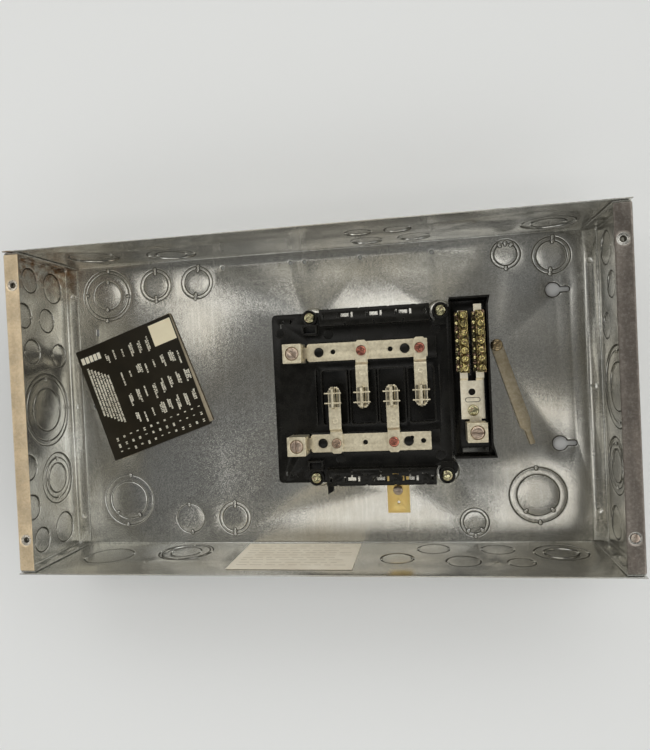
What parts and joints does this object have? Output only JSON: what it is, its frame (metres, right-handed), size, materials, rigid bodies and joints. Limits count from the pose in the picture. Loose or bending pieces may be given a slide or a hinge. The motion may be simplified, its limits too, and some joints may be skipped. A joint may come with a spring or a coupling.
{
  "type": "residential load center",
  "caption": "Open galvanised wiring box with a bus interior for plug-on breakers, main lugs, a neutral assembly and a bonding strap.",
  "frame": {"origin": "centre of the flat rear face of the box", "axes": "+Z out of the open front, +X along the length to the end that is up when hung on a wall, +Y across the width"},
  "size_m": [0.508, 0.2794, 0.0953],
  "materials": {
    "galvanised": "hot-dip galvanised sheet with fine spangle, semi-gloss",
    "black_moulding": "black moulded phenolic, satin",
    "tin_plate": "tin-plated bar, warm silver, satin",
    "copper_screw": "copper-flashed steel screw, bright",
    "yellow_zinc": "yellow-chromated zinc plating with iridescence",
    "bright_steel": "plain steel screw, lightly oxidised",
    "gold_zinc": "gold-chromated zinc plating, satin",
    "strap_tin": "dull tin-plated strap, warm tan",
    "printed_card": null,
    "cream_card": "cream card stock",
    "label_paper": null
  },
  "bodies": {
    "root": {"enclosure_body": "galvanised", "end_wall_bottom": "galvanised", "end_wall_top": "galvanised", "interior_base": "black_moulding", "bus_bar_a": "tin_plate", "bus_bar_b": "tin_plate", "branch_stab_1": "tin_plate", "branch_stab_2": "tin_plate", "branch_stab_3": "tin_plate", "branch_stab_4": "tin_plate", "stab_screw_1": "copper_screw", "stab_screw_2": "copper_screw", "stab_screw_3": "copper_screw", "stab_screw_4": "copper_screw", "line_lug_a": "tin_plate", "line_lug_b": "tin_plate", "neutral_holder": "black_moulding", "neutral_plate": "tin_plate", "neutral_lug": "tin_plate", "neutral_plate_screw": "yellow_zinc", "neutral_bar_a": "yellow_zinc", "neutral_bar_b": "yellow_zinc", "base_screw_1": "yellow_zinc", "base_screw_2": "yellow_zinc", "base_screw_3": "yellow_zinc", "base_screw_4": "yellow_zinc", "bonding_screw": "yellow_zinc", "ground_bracket": "gold_zinc", "bracket_screw": "bright_steel", "cover_screw": "bright_steel", "directory_card": "printed_card", "card_backing": "cream_card", "wiring_label": "label_paper"},
    "line_lug_screw_a": {"line_lug_screw_a": "bright_steel"},
    "line_lug_screw_b": {"line_lug_screw_b": "bright_steel"},
    "neutral_lug_screw": {"neutral_lug_screw": "bright_steel"},
    "terminal_screw_a1": {"terminal_screw_a1": "yellow_zinc"},
    "terminal_screw_a2": {"terminal_screw_a2": "yellow_zinc"},
    "terminal_screw_a3": {"terminal_screw_a3": "yellow_zinc"},
    "terminal_screw_a4": {"terminal_screw_a4": "yellow_zinc"},
    "terminal_screw_a5": {"terminal_screw_a5": "yellow_zinc"},
    "terminal_screw_a6": {"terminal_screw_a6": "yellow_zinc"},
    "terminal_screw_a7": {"terminal_screw_a7": "yellow_zinc"},
    "terminal_screw_b1": {"terminal_screw_b1": "yellow_zinc"},
    "terminal_screw_b2": {"terminal_screw_b2": "yellow_zinc"},
    "terminal_screw_b3": {"terminal_screw_b3": "yellow_zinc"},
    "terminal_screw_b4": {"terminal_screw_b4": "yellow_zinc"},
    "terminal_screw_b5": {"terminal_screw_b5": "yellow_zinc"},
    "terminal_screw_b6": {"terminal_screw_b6": "yellow_zinc"},
    "terminal_screw_b7": {"terminal_screw_b7": "yellow_zinc"},
    "bonding_strap": {"bonding_strap": "strap_tin"}
  },
  "joints": [
    {"name": "line_lug_screw_a_travel", "type": "slide", "parent": "root", "child": "line_lug_screw_a", "axis": [0, 0, 1], "range_m": [-0.005, 0.004]},
    {"name": "line_lug_screw_b_travel", "type": "slide", "parent": "root", "child": "line_lug_screw_b", "axis": [0, 0, 1], "range_m": [-0.005, 0.004]},
    {"name": "neutral_lug_screw_travel", "type": "slide", "parent": "root", "child": "neutral_lug_screw", "axis": [0, 0, 1], "range_m": [-0.005, 0.004]},
    {"name": "terminal_screw_a1_travel", "type": "slide", "parent": "root", "child": "terminal_screw_a1", "axis": [0, 0, 1], "range_m": [-0.0018, 0.003]},
    {"name": "terminal_screw_a2_travel", "type": "slide", "parent": "root", "child": "terminal_screw_a2", "axis": [0, 0, 1], "range_m": [-0.0018, 0.003]},
    {"name": "terminal_screw_a3_travel", "type": "slide", "parent": "root", "child": "terminal_screw_a3", "axis": [0, 0, 1], "range_m": [-0.0018, 0.003]},
    {"name": "terminal_screw_a4_travel", "type": "slide", "parent": "root", "child": "terminal_screw_a4", "axis": [0, 0, 1], "range_m": [-0.0018, 0.003]},
    {"name": "terminal_screw_a5_travel", "type": "slide", "parent": "root", "child": "terminal_screw_a5", "axis": [0, 0, 1], "range_m": [-0.0018, 0.003]},
    {"name": "terminal_screw_a6_travel", "type": "slide", "parent": "root", "child": "terminal_screw_a6", "axis": [0, 0, 1], "range_m": [-0.0018, 0.003]},
    {"name": "terminal_screw_a7_travel", "type": "slide", "parent": "root", "child": "terminal_screw_a7", "axis": [0, 0, 1], "range_m": [-0.0018, 0.003]},
    {"name": "terminal_screw_b1_travel", "type": "slide", "parent": "root", "child": "terminal_screw_b1", "axis": [0, 0, 1], "range_m": [-0.0018, 0.003]},
    {"name": "terminal_screw_b2_travel", "type": "slide", "parent": "root", "child": "terminal_screw_b2", "axis": [0, 0, 1], "range_m": [-0.0018, 0.003]},
    {"name": "terminal_screw_b3_travel", "type": "slide", "parent": "root", "child": "terminal_screw_b3", "axis": [0, 0, 1], "range_m": [-0.0018, 0.003]},
    {"name": "terminal_screw_b4_travel", "type": "slide", "parent": "root", "child": "terminal_screw_b4", "axis": [0, 0, 1], "range_m": [-0.0018, 0.003]},
    {"name": "terminal_screw_b5_travel", "type": "slide", "parent": "root", "child": "terminal_screw_b5", "axis": [0, 0, 1], "range_m": [-0.0018, 0.003]},
    {"name": "terminal_screw_b6_travel", "type": "slide", "parent": "root", "child": "terminal_screw_b6", "axis": [0, 0, 1], "range_m": [-0.0018, 0.003]},
    {"name": "terminal_screw_b7_travel", "type": "slide", "parent": "root", "child": "terminal_screw_b7", "axis": [0, 0, 1], "range_m": [-0.0018, 0.003]},
    {"name": "bonding_strap_swing", "type": "hinge", "parent": "root", "child": "bonding_strap", "pos_m": [0.1636, 0.0401, 0.0024], "axis": [0, 0, 1], "range_deg": [-12, 30]}
  ]
}
